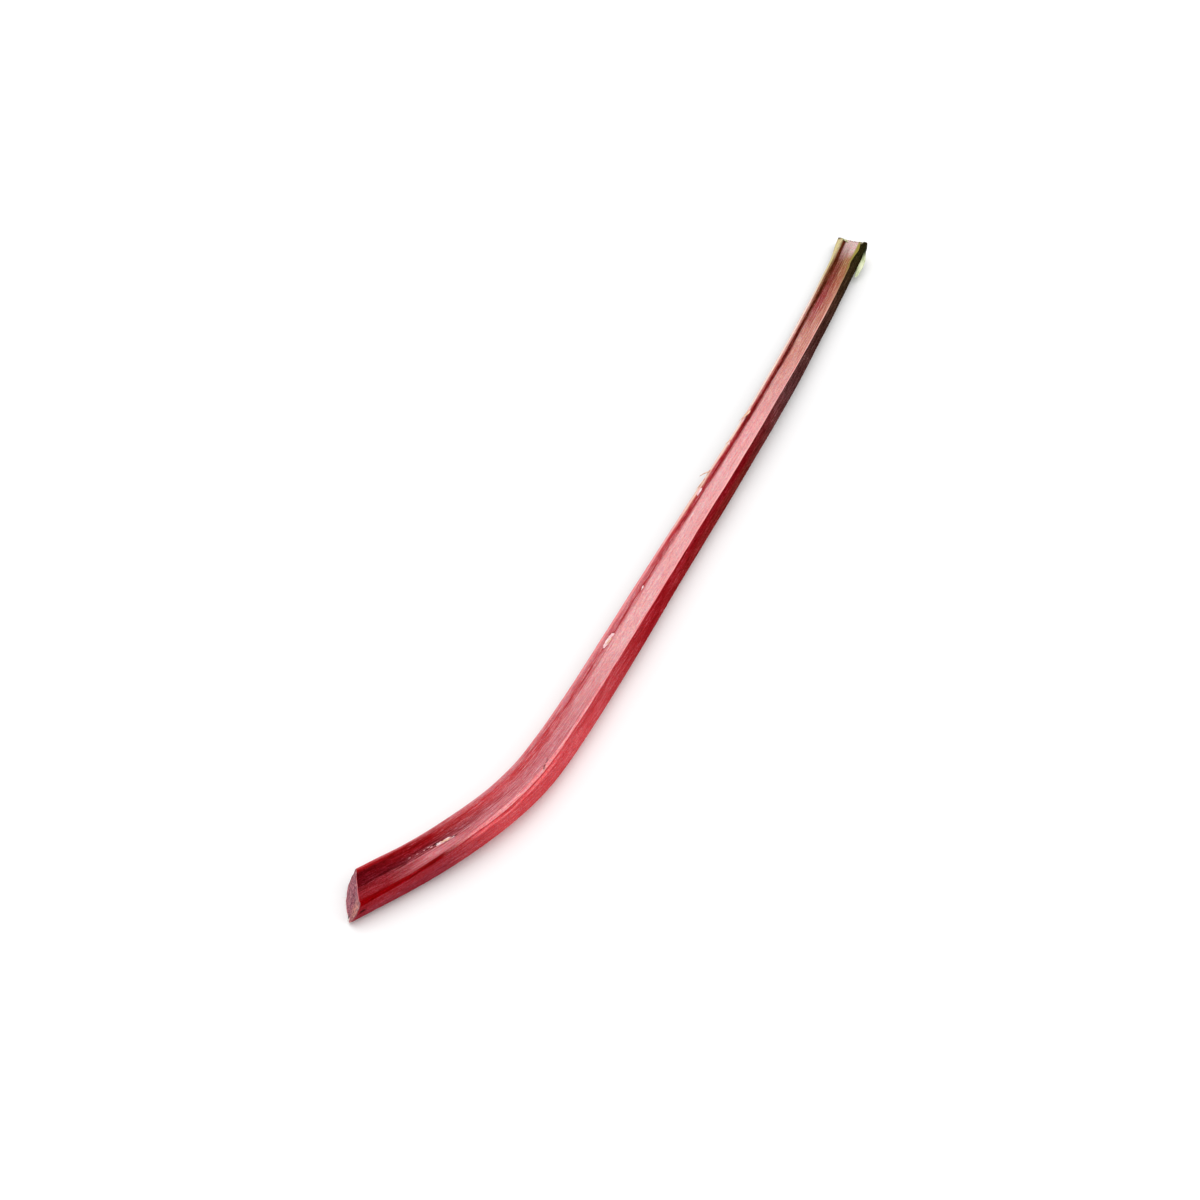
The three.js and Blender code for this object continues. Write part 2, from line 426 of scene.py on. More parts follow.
def keep_attribute(mesh, name, data):
    """Keeps one number, or one vector, for each point of the mesh."""
    kind, field = ("FLOAT", "value") if data.ndim == 1 else ("FLOAT_VECTOR", "vector")
    layer = mesh.attributes.new(name, kind, "POINT")
    layer.data.foreach_set(field, data.astype(np.float32).reshape(-1))


def make_stalk():
    even = np.linspace(0, 1, STATIONS)
    t = even - END_CROWDING * np.sin(2 * math.pi * even) / (2 * math.pi)
    base = sections(t)
    p, q, side = base["p"], base["q"], base["side"]
    s = (t * STALK_LENGTH)[:, None] + 0 * p
    girth, past = round_the_stalk(base, t)
    masks, press = mark_masks(s, girth)
    relief = skin_relief(t, s, base, girth, past, masks["scuff"], press)

    # The right margin ends in a low sharp corner at the leaf cut
    corner = smooth(t, *CORNER_BEGINS)[:, None] * bell(past, CORNER["past"], CORNER["width"]) * (girth < 0)
    n_p, n_q = outward(p, q)
    p_fine = p + n_p * relief - CORNER["out"] * corner
    q_fine = q + n_q * relief - CORNER["down"] * corner
    points = lay_out(t, p_fine, q_fine, base)

    around = p.shape[1]
    last = STATIONS - 1
    verts = points.reshape(-1, 3)
    grown = np.stack([s, p, q], -1).reshape(-1, 3)
    values = {
        "along": t[:, None] + 0 * p,
        "side": side,
        "rise": base["rise"],
        "past": past,
        "hand": smooth(np.where(base["back"] > 0, np.sign(side), side), -0.1, 0.1),
        "inside": np.zeros_like(p),
        **masks,
    }
    values = {key: data.reshape(-1) for key, data in values.items()}

    polygons = []
    for r in range(last):
        a = r * around + np.arange(around)
        b = r * around + (np.arange(around) + 1) % around
        polygons += np.stack([a, b, b + around, a + around], 1).tolist()
    skin_faces = len(polygons)

    rng = np.random.RandomState(SEED + 20)
    along = frames(t)[1]
    for ring, out, rim in ((points[0], -along[0], 0), (points[last], along[last], last * around)):
        here = slice(rim, rim + around)
        new = cut_face(ring, grown[here], out, rim, len(verts), rim == 0, rng)
        new_points, new_grown, inside, faces = new
        verts = np.concatenate([verts, new_points])
        grown = np.concatenate([grown, new_grown])
        for key, data in values.items():
            on_rim = data[here]
            inner = np.append(np.tile(on_rim, len(CAP_RINGS)), on_rim.mean())
            values[key] = np.concatenate([data, inside if key == "inside" else inner])
        polygons += [face for rows in faces for face in rows.tolist()]

    mesh = bpy.data.meshes.new("stalk_skin_fine")
    mesh.from_pydata((verts * MM).tolist(), [], polygons)
    for key, data in values.items():
        keep_attribute(mesh, key, data)
    keep_attribute(mesh, "grown", grown)
    slots = np.zeros(len(polygons), np.int32)
    slots[skin_faces:] = 1
    mesh.polygons.foreach_set("material_index", slots)
    mesh.shade_smooth()
    rims = set(range(around)) | set(range(last * around, (last + 1) * around))
    for edge in mesh.edges:
        if edge.vertices[0] in rims and edge.vertices[1] in rims:
            edge.use_edge_sharp = True
    mesh.validate()
    return link_object("stalk_flesh_and_skin", mesh)


# ---- Small torn pieces: slivers of skin that have come off at one end, and fibres at the cuts ----

# Each sliver runs from its root to its free tip: millimetres along the stalk and round it
Sliver = namedtuple("Sliver", "root tip width thick lift")
SLIVERS = [
    Sliver((312.6, 4.9), (302.6, 6.3), 1.1, 0.3, 0.75),
    Sliver((272.0, 6.2), (268.4, 7.8), 1.5, 0.45, 2.2),
    Sliver((267.0, 6.2), (259.5, 6.9), 0.8, 0.25, 0.35),
    Sliver((291.5, 5.6), (288.4, 6.6), 0.7, 0.25, 0.5),
    Sliver((44.0, -1.95), (38.6, -1.1), 0.9, 0.2, 0.3),
    Sliver((172.5, 3.3), (167.4, 3.6), 0.8, 0.2, 0.3),
    Sliver((99.6, -6.0), (96.0, -7.0), 0.6, 0.2, 0.4),
]
SLIVER_ROOT_DEPTH = 0.12
SLIVER_LOWEST = 0.3
BASE_FIBRES = [-9.5, -4, 1.5, 6, 11, 15.5, 19, 21.5, -13, -16, -19.5, -21.5]
LEAF_FIBRES = [-7.5, -3, 2, 6.5, 10, 14, -10, -13]
FIBRE_LOWEST = 0.1
FIBRE_LENGTH = (0.9, 2.2)
FIBRE_RADIUS = (0.06, 0.12)
# A scrap of leaf blade that stands out of the right side below the leaf cut, from its root at the cut to
# its free tip: places and sizes at even steps
LEAF_SCRAP = {
    "along": [429.6, 426.5, 423, 419, 414, 412.4],
    "girth": [-9.0, -10.8, -12.4, -13.4, -14.0, -14.2],
    "stand": [0.0, 0.15, 0.7, 1.1, 1.0, 0.9],
    "width": [0.4, 0.8, 1.9, 2.4, 1.5, 0.15],
}
SCRAP_THICKNESS = 0.22

STRIP_STEPS = 14
STRIP_AROUND = 10


def on_skin(s, girth):
    """Points of the skin and its outward normals, at millimetres along the stalk and round it."""
    def place(s, girth):
        t = s / STALK_LENGTH
        base = sections(t)
        points = lay_out(t, base["p"], base["q"], base)
        round_at = round_the_stalk(base, t)[0]
        found = np.empty((len(t), 3))
        for row in range(len(t)):
            order = np.argsort(round_at[row])
            for axis in range(3):
                found[row, axis] = np.interp(girth[row], round_at[row, order], points[row, order, axis])
        return found

    step = 0.4
    ahead = place(np.minimum(s + step, STALK_LENGTH), girth) - place(np.maximum(s - step, 0), girth)
    leftward = place(s, girth + step) - place(s, girth - step)
    normal = np.cross(ahead, leftward)
    return place(s, girth), normal / np.linalg.norm(normal, axis=1)[:, None]


def strip(path, normal, width, thick):
    """A closed flat strip along the path: its vertices, its faces, the vertices' places on it in
    millimetres, and their shares of the way from its root to its free end."""
    tangent = np.gradient(path, axis=0)
    tangent /= np.linalg.norm(tangent, axis=1)[:, None]
    across = np.cross(normal, tangent)
    across /= np.linalg.norm(across, axis=1)[:, None]
    above = np.cross(tangent, across)
    turn = np.arange(STRIP_AROUND) * 2 * math.pi / STRIP_AROUND
    wide = np.cos(turn)[None, :, None] * (width / 2)[:, None, None] * across[:, None]
    deep = np.sin(turn)[None, :, None] * (thick / 2)[:, None, None] * above[:, None]
    rings = path[:, None] + wide + deep
    steps = len(path)
    verts = np.concatenate([rings.reshape(-1, 3), path[:1], path[-1:]])
    length = np.concatenate([[0], np.cumsum(np.linalg.norm(np.diff(path, axis=0), axis=1))])
    grown = np.stack([
        length[:, None] + 0 * wide[..., 0], np.cos(turn)[None] * (width / 2)[:, None],
        np.sin(turn)[None] * (thick / 2)[:, None],
    ], -1).reshape(-1, 3)
    grown = np.concatenate([grown, [[0, 0, 0], [length[-1], 0, 0]]])
    free = np.concatenate([np.repeat(length / length[-1], STRIP_AROUND), [0, 1]])
    faces = []
    for k in range(steps - 1):
        for i in range(STRIP_AROUND):
            a, b = k * STRIP_AROUND + i, k * STRIP_AROUND + (i + 1) % STRIP_AROUND
            faces.append((a, b, b + STRIP_AROUND, a + STRIP_AROUND))
    first, last = steps * STRIP_AROUND, steps * STRIP_AROUND + 1
    for i in range(STRIP_AROUND):
        j = (i + 1) % STRIP_AROUND
        faces.append((j, i, first))
        faces.append((last - 1 - STRIP_AROUND + i, last - 1 - STRIP_AROUND + j, last))
    return verts, faces, grown, free


def sliver(spec, rng):
    u = np.linspace(0, 1, STRIP_STEPS)
    s = spec.root[0] + (spec.tip[0] - spec.root[0]) * u
    girth = spec.root[1] + (spec.tip[1] - spec.root[1]) * u**1.2
    path, normal = on_skin(s, girth)
    lift = spec.lift * u**1.7 - SLIVER_ROOT_DEPTH * (1 - u)
    path = path + normal * lift[:, None]
    path[:, 2] = np.maximum(path[:, 2], SLIVER_LOWEST)
    taper = np.clip(np.sin(math.pi * (0.14 + 0.84 * u)), 0, 1) ** 0.7
    uneven = 1 + 0.15 * rng.uniform(-1, 1, STRIP_STEPS)
    return strip(path, normal, spec.width * taper * uneven, spec.thick * (0.35 + 0.65 * taper))


def blade_scrap():
    """A thin flap, edge on to the skin."""
    even = np.linspace(0, 1, len(LEAF_SCRAP["along"]))
    u = np.linspace(0, 1, 2 * STRIP_STEPS)
    scrap = {key: np.interp(u, even, steps) for key, steps in LEAF_SCRAP.items()}
    path, normal = on_skin(scrap["along"], scrap["girth"])
    path = path + normal * scrap["stand"][:, None]
    tangent = np.gradient(path, axis=0)
    return strip(path, np.cross(tangent, normal), scrap["width"], np.full_like(u, SCRAP_THICKNESS))


def fibre(start, direction, curl, length, radius):
    u = np.linspace(0, 1, STRIP_STEPS)[:, None]
    path = start + length * (u * direction + u * u * curl)
    path[:, 2] = np.maximum(path[:, 2], FIBRE_LOWEST)
    side = np.cross(direction, [0.3, 0.2, 0.9])
    normal = np.repeat((side / np.linalg.norm(side))[None], STRIP_STEPS, 0)
    size = 2 * radius * (1 - 0.8 * u[:, 0])
    return strip(path, normal, size, size)


def cut_fibres(end, girths, rng):
    """Short broken fibres that stand out of a cut, just inside its rim."""
    s = np.full(len(girths), 0.1 if end == "base" else STALK_LENGTH - 0.1)
    points, normals = on_skin(s, np.asarray(girths, float))
    away = frames(s / STALK_LENGTH)[1] * (-1 if end == "base" else 1)
    fibres = []
    for point, normal, out in zip(points, normals, away):
        start = point - normal * rng.uniform(0.2, 0.9) - out * 0.5
        direction = out + normal * rng.uniform(-0.1, 0.5)
        curl = normal * rng.uniform(-0.5, 0.4) + np.cross(out, normal) * rng.uniform(-0.5, 0.5)
        fibres.append(fibre(start, direction, curl, rng.uniform(*FIBRE_LENGTH), rng.uniform(*FIBRE_RADIUS)))
    return fibres


def join_strips(name, strips):
    verts, parts, grown, free = zip(*strips)
    faces, count = [], 0
    for points, part in zip(verts, parts):
        faces += [tuple(i + count for i in face) for face in part]
        count += len(points)
    mesh = bpy.data.meshes.new(name)
    mesh.from_pydata((np.concatenate(verts) * MM).tolist(), [], faces)
    keep_attribute(mesh, "grown", np.concatenate(grown))
    keep_attribute(mesh, "free", np.concatenate(free))
    mesh.shade_smooth()
    return link_object(name, mesh)


# ---- Materials ----


def linear(r, g, b):
    """A linear colour from an sRGB one, 0 to 255."""
    parts = [c / 255 for c in (r, g, b)]
    return [c / 12.92 if c <= 0.04045 else ((c + 0.055) / 1.055) ** 2.4 for c in parts] + [1.0]


class Tree:
    """A material's node tree, built by short calls that return output sockets."""

    def __init__(self, name):
        self.material = bpy.data.materials.new(name)
        self.material.use_nodes = True
        self.nodes = self.material.node_tree.nodes
        self.shader = self.nodes["Principled BSDF"]

    def feed(self, node, inputs):
        """Links each of the node's inputs to an output socket, or sets it to a value."""
        for name, value in inputs.items():
            if isinstance(value, bpy.types.NodeSocket):
                self.material.node_tree.links.new(value, node.inputs[name])
            else:
                node.inputs[name].default_value = value

    def add(self, kind, inputs, **settings):
        node = self.nodes.new("ShaderNode" + kind)
        for name, value in settings.items():
            setattr(node, name, value)
        self.feed(node, inputs)
        return node

    def attribute(self, name, output="Fac"):
        return self.add("Attribute", {}, attribute_name=name).outputs[output]

    def math(self, operation, a, b=0.0):
        return self.add("Math", {0: a, 1: b}, operation=operation).outputs[0]

    def times(self, *factors):
        return reduce(lambda a, b: self.math("MULTIPLY", a, b), factors)

    def plus(self, *terms):
        return reduce(lambda a, b: self.math("ADD", a, b), terms)

    def minus(self, a, b):
        return self.math("SUBTRACT", a, b)

    def span(self, value, low, high):
        """Smoothly from 0 at low to 1 at high."""
        inputs = {"Value": value, "From Min": low, "From Max": high}
        return self.add("MapRange", inputs, interpolation_type="SMOOTHSTEP").outputs["Result"]

    def scaled(self, vector, x, y, z, shift=0.0):
        inputs = {0: vector, 1: (x, y, z), 2: (shift, shift, shift)}
        return self.add("VectorMath", inputs, operation="MULTIPLY_ADD").outputs[0]

    def distance(self, vector, x, y, z):
        inputs = {0: vector, 1: (x, y, z)}
        return self.add("VectorMath", inputs, operation="DISTANCE").outputs["Value"]

    def noise(self, vector, detail, roughness):
        inputs = {"Vector": vector, "Scale": 1, "Detail": detail, "Roughness": roughness}
        return self.add("TexNoise", inputs).outputs["Fac"]

    def cells(self, vector):
        """Distance from the middle of the nearest cell of a random pattern."""
        return self.add("TexVoronoi", {"Vector": vector, "Scale": 1}).outputs["Distance"]

    def through(self, value, stops):
        """A linear colour that runs through the stops, as the value goes from 0 to 1."""
        node = self.add("ValToRGB", {0: value})
        elements = node.color_ramp.elements
        elements.remove(elements[1])
        for k, (place, colour) in enumerate(stops):
            element = elements[0] if k == 0 else elements.new(place)
            element.position = place
            element.color = colour
        return node.outputs[0]

    def ramp(self, value, stops):
        """A colour that runs through stops of sRGB colours."""
        return self.through(value, [(place, linear(*colour)) for place, colour in stops])

    def level(self, value, stops):
        """A number between 0 and 1 that runs through the stops."""
        return self.through(value, [(place, (amount, amount, amount, 1)) for place, amount in stops])

    def reach(self, value, stops):
        """A number between -REACH_MOST and REACH_MOST that runs through the stops."""
        whole = 2 * REACH_MOST
        shares = self.level(value, [(place, (amount + REACH_MOST) / whole) for place, amount in stops])
        return self.minus(self.times(shares, whole), REACH_MOST)

    def mix(self, share, a, b, blend="MIX"):
        """Blends b into a by that share. Each is a socket or an sRGB colour."""
        a, b = (c if isinstance(c, bpy.types.NodeSocket) else linear(*c) for c in (a, b))
        return self.add("Mix", {0: share, 6: a, 7: b}, data_type="RGBA", blend_type=blend).outputs[2]

    def pigment(self, colour, density):
        """The colour with more pigment where density is over 1: darker and deeper, and paler under 1."""
        return self.add("Gamma", {0: colour, 1: density}).outputs[0]

    def weighed(self, *terms):
        """Sum of each noise, less its middle value, times its weight."""
        total = 0.0
        for noise, weight in terms:
            total = self.plus(self.times(self.minus(noise, 0.5), weight), total)
        return total

    def bump(self, height, strength, distance, normal=None):
        inputs = {"Height": height, "Strength": strength, "Distance": distance}
        if normal is not None:
            inputs["Normal"] = normal
        return self.add("Bump", inputs).outputs[0]


REACH_MOST = 6.0

# Colours of the skin, sRGB
WINE = (92, 4, 12)
DEEP_RED = (112, 6, 14)
BURGUNDY = (116, 24, 36)
LACQUER_RED = (136, 0, 3)
OXBLOOD = (104, 26, 20)
CARMINE = (150, 12, 18)
RED = (152, 24, 31)
CRIMSON = (150, 38, 46)
GARNET = (146, 46, 56)
CHERRY = (178, 54, 60)
BRICK = (164, 70, 70)
SCARLET = (186, 46, 52)
CORAL = (206, 80, 84)
# Painted highlight of the ridge at the bend
HIGHLIGHT_CORAL = (244, 112, 114)
ROSE = (190, 88, 94)
SALMON_PINK = (206, 104, 108)
PINK = (212, 124, 129)
DUSTY_PINK = (208, 142, 146)
PALE_PINK = (246, 184, 182)
BLUSH = (242, 153, 154)
# Pale pink of the painted highlight on the right crest
HIGHLIGHT_SHELL = (246, 178, 174)
SALMON = (218, 160, 142)
CREAM = (246, 226, 212)
STRAW = (238, 204, 180)
YELLOW_CREAM = (214, 204, 150)
TERRACOTTA = (186, 118, 90)
RUST = (132, 74, 54)
UMBER = (90, 36, 14)
TAN = (174, 130, 86)
# A painted sheen at the leaf end of the channel floor
SHEEN_LILAC_WHITE = (228, 202, 196)
OCHRE = (146, 110, 70)
LIME = (160, 150, 70)
DARK_OLIVE = (38, 36, 13)
DUSK = (84, 46, 45)
BROWN = (68, 39, 28)
DARK_BROWN = (54, 34, 22)
SPLIT_DARK = (64, 16, 18)
SCAR_WHITE = (252, 240, 240)
SCAR_PINK = (234, 178, 184)
# Drifts of hue that the skin is multiplied by: each runs from its first colour to its second
TINTS = ((226, 200, 214), (254, 255, 246))
BLUSHES = ((255, 230, 240), (236, 255, 252))
DRIFT_STRENGTH = 0.9

# Where the colours lie, from the base, at 0, to the leaf end, at 1
# Floor: the pink near the base on the right part is partly a painted highlight, the pale pink of the middle
# is partly the floor's own pink and partly a painted sheen, and the lilac white at the leaf end is a
# painted sheen.
FLOOR = [
    (0.03, CRIMSON), (0.08, PINK), (0.26, PINK), (0.4, PALE_PINK), (0.7, PALE_PINK), (0.84, SALMON),
    (0.93, TERRACOTTA), (0.972, TAN), (0.985, SHEEN_LILAC_WHITE),
]
FLOOR_LEFT = [
    (0.0, WINE), (0.08, BURGUNDY), (0.16, ROSE), (0.25, PINK), (0.4, PALE_PINK), (0.7, PALE_PINK),
    (0.84, SALMON), (0.9, BRICK), (0.968, RUST), (1.0, SHEEN_LILAC_WHITE),
]
CREASE = [
    (0.0, WINE), (0.09, CARMINE), (0.16, CORAL), (0.25, CORAL), (0.36, SALMON_PINK), (0.46, SALMON_PINK),
    (0.56, CHERRY), (0.65, RED), (0.82, OXBLOOD), (0.92, UMBER),
]
LEFT_WALL = [
    (0.06, CARMINE), (0.13, SALMON_PINK), (0.17, PINK), (0.45, PINK), (0.55, CORAL), (0.7, CHERRY),
    (0.85, SALMON), (0.96, OCHRE), (0.986, YELLOW_CREAM),
]
# The left crest's blush pinks and creams are partly the margin's own pale colour and partly a painted
# highlight along its edge.
LEFT_CREST_COLOURS = [
    (0.0, CORAL), (0.1, PINK), (0.3, BLUSH), (0.5, BLUSH), (0.68, CREAM), (0.9, CREAM),
    (0.96, YELLOW_CREAM), (0.996, YELLOW_CREAM), (1.0, DARK_OLIVE),
]
# The right crest's blush and shell pinks are a painted highlight line along the edge; the deep red near the
# base and the ochre and lime at the leaf end are the skin's own.
RIGHT_CREST_COLOURS = [
    (0.08, LACQUER_RED), (0.12, BLUSH), (0.48, BLUSH), (0.64, HIGHLIGHT_SHELL), (0.76, HIGHLIGHT_SHELL),
    (0.88, SALMON), (0.94, OCHRE), (0.98, LIME),
]
# Flank and back: their dark maroon, brown and olive toward the leaf end are partly the skin's own colour
# and partly painted shade.
FLANK = [
    (0.08, CRIMSON), (0.14, CORAL), (0.22, CORAL), (0.43, RED), (0.65, DEEP_RED), (0.75, DUSK),
    (0.9, DARK_BROWN), (0.98, DARK_OLIVE),
]
BACK = [
    (0.08, GARNET), (0.15, CORAL), (0.28, CORAL), (0.42, RED), (0.64, OXBLOOD), (0.75, DUSK),
    (0.9, DARK_BROWN), (0.98, DARK_OLIVE),
]

# Along the stalk: how strong the streaks are, how glossy the channel is, where across the floor the
# darker left part begins, how far the crease's red spreads over the floor as a share of the margin, and
# where the right margin's pale edge, a painted highlight, begins and ends, in millimetres past its crest.
# The left margin's ends at one distance past its own.
STREAKINESS = [(0.0, 0.3), (0.1, 0.8), (0.5, 0.95), (0.85, 0.9), (1.0, 0.4)]
GLOSS = [(0.0, 0.01), (0.1, 0.05), (0.3, 0.1), (0.7, 0.1), (0.84, 0.04), (1.0, 0.03)]
DARK_FROM = [(0.08, 0.38), (0.12, 0.18), (0.2, 0.38), (0.28, 0.55), (0.8, 0.6), (0.9, 0.4), (1.0, 0.5)]
CREASE_REACH = [(0.24, 0.6), (0.4, 0.42), (0.8, 0.42), (1.0, 0.1)]
EDGE_START = [
    (0.0, -3.8), (0.08, -1.0), (0.28, -1.0), (0.38, -2.3), (0.92, -2.6), (0.96, -4.0), (1.0, -5.4),
]
EDGE_END = [
    (0.08, 1.3), (0.11, 0.9), (0.16, 1.65), (0.3, 0.7), (0.4, 0.3), (0.62, 0.6), (0.74, 0.1), (0.91, 0.5),
    (0.955, 0.3), (0.975, -1.6), (1.0, -3.8),
]
LEFT_EDGE_END = 1.75

# Up the left margin, from the floor's edge at 0 to the crest at 1: where each colour begins or ends
LINE_BEGINS = (0.02, 0.16)
LINE_ENDS = (0.36, 0.22)
WALL_BEGINS = (0.42, 0.68)
CREST_BEGINS = (0.72, 1.05)

# Noises that follow the skin's growth: repeats for each millimetre along and across, shift, and roughness
NOISES = {
    "streak": (0.05, 1.4, 0, 0.55),
    "strand": (0.08, 2.9, 17, 0.6),
    "fibre": (0.22, 6.5, 7, 0.6),
    "patch": (0.06, 0.22, 3, 0.5),
    "grain": (1.6, 4.5, 1, 0.6),
    "mottle": (1.0, 1.7, 11, 0.7),
    "hue": (1.2, 1.9, 23, 0.6),
}


def skin_places(tree):
    """What the skin's colours depend on: places on the skin, marks and noises."""
    grown = tree.attribute("grown", "Vector")
    at = SimpleNamespace()
    for name in ("along", "side", "rise", "past", "hand") + MARK_KINDS:
        setattr(at, name, tree.attribute(name))
    for name, (along, across, shift, roughness) in NOISES.items():
        setattr(at, name, tree.noise(tree.scaled(grown, along, across, across, shift), 2, roughness))
    at.ragged = tree.minus(at.strand, 0.5)
    at.ragged_rise = tree.plus(at.rise, tree.times(at.ragged, 0.35))
    at.ragged_past = tree.plus(at.past, tree.times(at.ragged, 0.3))
    at.left = tree.span(at.hand, 0.4, 0.6)
    at.right = tree.minus(1.0, at.left)
    return at


def floor_colour(tree, at):
    """Floor of the channel, darker at its left. Its lighter right part near the base is partly a painted
    highlight, and its pale pink is partly a painted sheen.
    """
    toward_left = tree.plus(at.side, at.ragged)
    middle = tree.minus(tree.level(at.along, DARK_FROM), 0.5)
    darker = tree.span(toward_left, tree.minus(middle, 0.25), tree.plus(middle, 0.25))
    return tree.mix(darker, tree.ramp(at.along, FLOOR), tree.ramp(at.along, FLOOR_LEFT))


def left_margin(tree, at, colour):
    """The crease and a deep line in it, then the inner slope and the crest, whose pale colour is partly a
    painted highlight; the crest is kept in at.
    """
    spread = tree.times(tree.level(at.along, CREASE_REACH), -2.0)
    crease = tree.times(tree.span(at.ragged_rise, spread, 0.15), at.left)
    colour = tree.mix(crease, colour, tree.ramp(at.along, CREASE))
    lined = tree.times(tree.span(at.along, 0.22, 0.32), tree.span(at.along, 0.62, 0.52))
    lined = tree.times(lined, at.left, tree.span(at.strand, 0.3, 0.55))
    line = tree.times(tree.span(at.ragged_rise, *LINE_BEGINS), tree.span(at.ragged_rise, *LINE_ENDS))
    colour = tree.mix(tree.times(line, lined, 0.75), colour, CHERRY)
    wall = tree.times(tree.span(at.ragged_rise, *WALL_BEGINS), at.left)
    colour = tree.mix(wall, colour, tree.ramp(at.along, LEFT_WALL))
    # The crest's pale colour is partly a painted highlight.
    at.crest = tree.times(tree.span(at.ragged_rise, *CREST_BEGINS), at.left)
    at.crest_colour = tree.ramp(at.along, LEFT_CREST_COLOURS)
    return tree.mix(at.crest, colour, at.crest_colour)


def right_margin(tree, at, colour):
    """A pale edge, a painted highlight along the right margin's crest, wider at the bend and deep red near
    the base, which is kept in at.
    """
    start = tree.reach(at.along, EDGE_START)
    # The pale edge is a painted highlight line.
    soft = tree.times(tree.span(at.along, 0.1, 0.03), 2.0)
    edge = tree.span(at.ragged_past, start, tree.plus(start, 0.9, soft))
    at.edge = tree.times(edge, at.right)
    at.edge_colour = tree.ramp(at.along, RIGHT_CREST_COLOURS)
    return tree.mix(at.edge, colour, at.edge_colour)


def flank_and_back(tree, at, colour):
    """The outer side, darker toward the leaf end partly by painted shade, with a fine groove and a painted
    highlight on the ridge beside the right margin at the bend.
    """
    left_end = tree.plus(LEFT_EDGE_END, tree.times(at.ragged, 1.6))
    begins = tree.plus(tree.times(tree.reach(at.along, EDGE_END), at.right), tree.times(at.left, left_end))
    past_edge = tree.minus(at.ragged_past, begins)
    faded = tree.times(at.left, 0.45)
    at.back = tree.span(past_edge, tree.minus(-0.12, faded), tree.plus(0.15, faded))
    # The darker leaf end of the outer colours is partly painted shade.
    below_flank = tree.span(at.ragged_past, 1.8, 4.5)
    outer = tree.mix(below_flank, tree.ramp(at.along, FLANK), tree.ramp(at.along, BACK))
    at_bend = tree.times(tree.span(at.along, 0.1, 0.13), tree.span(at.along, 0.27, 0.21), at.right)
    groove = tree.times(tree.span(past_edge, 0.6, 0.4), at_bend)
    outer = tree.mix(tree.times(groove, 0.7), outer, SCARLET)
    # A painted highlight along the ridge beside the groove at the bend.
    ridge_highlight = tree.times(tree.span(past_edge, 0.6, 0.8), tree.span(past_edge, 1.4, 1.15), at_bend)
    outer = tree.mix(tree.times(ridge_highlight, 0.8), outer, HIGHLIGHT_CORAL)
    return tree.mix(at.back, colour, outer)


def streaks_and_grain(tree, at, colour):
    """Streaks, patches and grain of more and less pigment, and drifts of hue. Past the bend, both
    crests, whose pale colours are partly painted highlights, are smoother and clearer."""
    streaks = tree.weighed((at.streak, 1.0), (at.strand, 2.0), (at.fibre, 1.4))
    fewer = tree.minus(1.0, tree.times(at.back, 0.5))
    streaks = tree.times(streaks, tree.level(at.along, STREAKINESS), fewer)
    grains = tree.weighed((at.patch, 0.3), (at.grain, 1.2), (at.fibre, 0.7), (at.mottle, 0.8))
    density = tree.math("MAXIMUM", tree.plus(streaks, grains, 1.0), 0.35)
    colour = tree.pigment(colour, density)
    for noise, drift in ((at.mottle, TINTS), (at.hue, BLUSHES)):
        tint = tree.mix(tree.span(noise, 0.38, 0.62), *drift)
        colour = tree.mix(DRIFT_STRENGTH, colour, tint, "MULTIPLY")

    # Both crests' pale colours, partly painted highlights, are laid again over the streaks past the bend.
    clear = tree.times(tree.minus(1.0, at.back), tree.span(at.along, 0.3, 0.45), 0.55)
    top = tree.times(at.crest, tree.span(at.past, 1.2, 0.5))
    colour = tree.mix(tree.times(top, clear), colour, at.crest_colour)
    return tree.mix(tree.times(at.edge, clear), colour, at.edge_colour)


def skin_marks(tree, at, colour):
    """Pale torn edges along the left crest, which are partly torn skin and partly a painted highlight;
    scuffs, flecks, scars and splits, and dried skin at the leaf cut.
    """
    # Pale strips on the left crest: partly torn skin, partly a painted highlight.
    pale = tree.times(at.pale, tree.span(at.strand, 0.3, 0.6))
    colour = tree.mix(tree.times(pale, 0.85), colour, STRAW)
    scratch = tree.times(at.scuff, tree.span(at.grain, 0.5, 0.4))
    colour = tree.mix(scratch, colour, tree.pigment(colour, 1.6))
    rubbed = tree.times(at.scuff, tree.span(at.grain, 0.54, 0.6))
    colour = tree.mix(tree.times(rubbed, 0.45), colour, ROSE)
    colour = tree.mix(tree.span(at.fleck, 0.3, 0.7), colour, DUSTY_PINK)
    colour = tree.mix(tree.span(at.scar, 0.05, 0.3), colour, tree.pigment(colour, 1.6))
    torn = tree.plus(at.scar, tree.weighed((at.strand, 1.6), (at.mottle, 1.6)))
    bare = tree.times(tree.span(torn, 0.35, 0.55), tree.span(at.scar, 0.2, 0.45))
    colour = tree.mix(bare, colour, tree.mix(tree.span(at.fibre, 0.4, 0.56), SCAR_WHITE, SCAR_PINK))
    colour = tree.mix(at.split, colour, SPLIT_DARK)
    dried = tree.times(tree.span(at.along, 0.9978, 0.9992), tree.span(at.strand, 0.42, 0.56))
    return tree.mix(tree.times(dried, 0.8), colour, BROWN)


